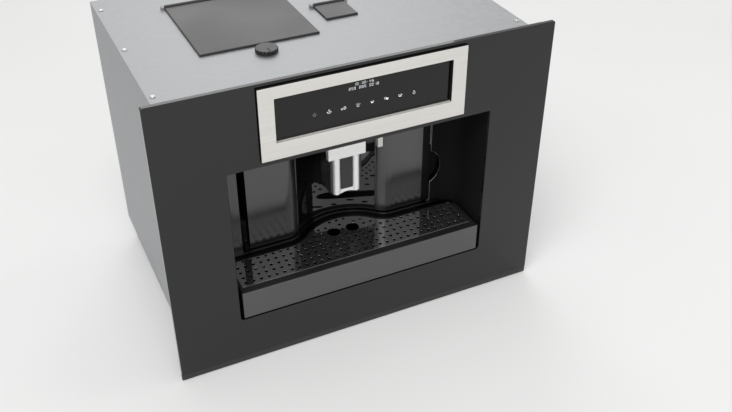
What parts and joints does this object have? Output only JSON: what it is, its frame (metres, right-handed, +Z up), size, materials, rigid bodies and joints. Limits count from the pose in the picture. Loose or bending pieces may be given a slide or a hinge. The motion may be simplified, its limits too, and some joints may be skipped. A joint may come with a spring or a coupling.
{
  "type": "built-in coffee machine",
  "caption": "Built-in bean-to-cup coffee machine: black glass front, steel control frame, cup niche with hinged service door, sliding spout and drip tray, on telescopic rails.",
  "frame": {"origin": "middle of the footprint, on the shelf the machine stands on", "axes": "+X to the user's right, +Y into the housing (away from the user), +Z up"},
  "size_m": [0.595, 0.4, 0.456],
  "materials": {
    "galvanised_steel": "galvanised sheet steel, fine spangle",
    "zinc_steel": "bright zinc-plated steel",
    "black_glass": "black back-printed glass, high gloss",
    "display_glass": "smoked display glass with touch symbols, gloss",
    "black_trim": "black powder-coated metal, satin",
    "brushed_steel": "horizontally brushed stainless steel",
    "bright_chrome": "satin chrome",
    "door_gloss": "dark mirror-gloss moulding",
    "black_gloss_plastic": "black gloss moulding",
    "black_plastic": "black fine-textured moulding",
    "spout_plastic": "dark grey moulding, semi-gloss",
    "satin_metal": "satin anodised, mid grey",
    "polished_dark_steel": "polished dark perforated steel",
    "circuit_board": "green solder-masked board with parts",
    "magnet": "dark sintered magnet",
    "grey_plastic": "dark grey moulding, matt",
    "clear_plastic": "clear smoked plastic",
    "lid_plastic": "black satin moulding",
    "white_plastic": "food-grade off-white moulding",
    "seal_rubber": "red silicone",
    "burr_steel": "hardened steel",
    "machined_steel": "turned steel",
    "motor_steel": "zinc-plated motor can",
    "cast_aluminium": "die-cast aluminium",
    "silicone_hose": "translucent silicone hose"
  },
  "bodies": {
    "mount": {"mounting_base": "galvanised_steel", "outer_rails": "zinc_steel"},
    "rail_middle": {"middle_rails": "zinc_steel"},
    "machine": {"inner_rails": "zinc_steel", "chassis_base": "galvanised_steel", "left_side_panel": "galvanised_steel", "right_side_panel": "galvanised_steel", "rear_cover": "galvanised_steel", "top_cover": "galvanised_steel", "cover_screws": "zinc_steel", "front_carrier": "black_trim", "front_glass": "black_glass", "bottom_trim": "black_trim", "control_frame": "brushed_steel", "display_glass": "display_glass", "display_module": "circuit_board", "niche_shell": "black_gloss_plastic", "door_hinge_pins": "zinc_steel", "door_magnet": "magnet", "tank_seat": "grey_plastic", "mains_inlet": "black_plastic", "power_board": "circuit_board", "bean_hopper": "clear_plastic", "lid_hinge_pins": "zinc_steel", "grounds_chute": "grey_plastic", "grinder_housing": "grey_plastic", "upper_burr": "burr_steel", "grinder_motor": "motor_steel", "brew_frame": "grey_plastic", "upper_piston": "white_plastic", "lower_piston": "white_plastic", "piston_seals": "seal_rubber", "brew_motor": "motor_steel", "thermoblock": "cast_aluminium", "pump": "motor_steel", "flow_meter": "grey_plastic", "suction_hoses": "silicone_hose", "pressure_hose": "silicone_hose", "outlet_pipes": "silicone_hose", "grounds_container": "black_plastic", "inner_shelf": "grey_plastic"},
    "service_door": {"door_panel": "door_gloss", "door_liner": "black_plastic", "outlet_bracket": "black_plastic", "hot_water_nozzle": "brushed_steel"},
    "coffee_spout": {"spout_housing": "spout_plastic", "spout_cap": "brushed_steel", "spout_outlets": "bright_chrome"},
    "drip_tray": {"drip_tray": "black_plastic", "tray_front": "satin_metal"},
    "grille": {"grille": "polished_dark_steel"},
    "water_tank": {"water_tank": "clear_plastic", "tank_lid": "lid_plastic"},
    "hopper_lid": {"hopper_lid": "lid_plastic"},
    "powder_lid": {"powder_lid": "lid_plastic"},
    "grind_knob": {"grind_knob": "black_plastic"},
    "power_switch": {"switch_rocker": "black_plastic"},
    "burr": {"lower_burr": "burr_steel"},
    "brew_chamber": {"brew_chamber": "white_plastic"},
    "brew_spindle": {"brew_spindle": "machined_steel"}
  },
  "joints": [
    {"name": "machine_slide", "type": "slide", "parent": "mount", "child": "machine", "axis": [0, -1, 0], "range_m": [0, 0.24]},
    {"name": "rail_slide", "type": "slide", "parent": "mount", "child": "rail_middle", "axis": [0, -1, 0], "range_m": [0, 0.12]},
    {"name": "door_hinge", "type": "hinge", "parent": "machine", "child": "service_door", "pos_m": [-0.1554, -0.1015, 0.2315], "axis": [0, 0, -1], "range_deg": [0, 90]},
    {"name": "spout_height", "type": "slide", "parent": "service_door", "child": "coffee_spout", "axis": [0, 0, 1], "range_m": [-0.02, 0.03]},
    {"name": "tray_slide", "type": "slide", "parent": "machine", "child": "drip_tray", "axis": [0, -1, 0], "range_m": [0, 0.12]},
    {"name": "grille_lift", "type": "slide", "parent": "drip_tray", "child": "grille", "axis": [0, 0, 1], "range_m": [0, 0.004]},
    {"name": "tank_pull", "type": "slide", "parent": "machine", "child": "water_tank", "axis": [1, 0, 0], "range_m": [0, 0.1]},
    {"name": "hopper_lid_hinge", "type": "hinge", "parent": "machine", "child": "hopper_lid", "pos_m": [-0.095, 0.1208, 0.4432], "axis": [-1, 0, 0], "range_deg": [0, 80]},
    {"name": "powder_lid_hinge", "type": "hinge", "parent": "machine", "child": "powder_lid", "pos_m": [0.045, 0.0318, 0.4432], "axis": [-1, 0, 0], "range_deg": [0, 80]},
    {"name": "grind_knob_turn", "type": "hinge", "parent": "machine", "child": "grind_knob", "pos_m": [-0.095, -0.08, 0.44], "axis": [0, 0, 1], "range_deg": [-120, 120]},
    {"name": "power_switch_rock", "type": "hinge", "parent": "machine", "child": "power_switch", "pos_m": [-0.2, 0.1935, 0.135], "axis": [-1, 0, 0], "range_deg": [0, 16]},
    {"name": "burr_spin", "type": "hinge", "parent": "machine", "child": "burr", "pos_m": [-0.095, 0.03, 0.318], "axis": [0, 0, 1], "continuous": true},
    {"name": "chamber_lift", "type": "slide", "parent": "machine", "child": "brew_chamber", "axis": [0, 0, 1], "range_m": [0, 0.045]},
    {"name": "spindle_turn", "type": "hinge", "parent": "machine", "child": "brew_spindle", "pos_m": [0.08, 0.04, 0.134], "axis": [0, 0, 1], "range_deg": [0, 676]}
  ],
  "couplings": [
    {"joint": "rail_slide", "follows": "machine_slide", "ratio": 0.5},
    {"joint": "spindle_turn", "follows": "chamber_lift", "rad_per_m": 261.8}
  ]
}
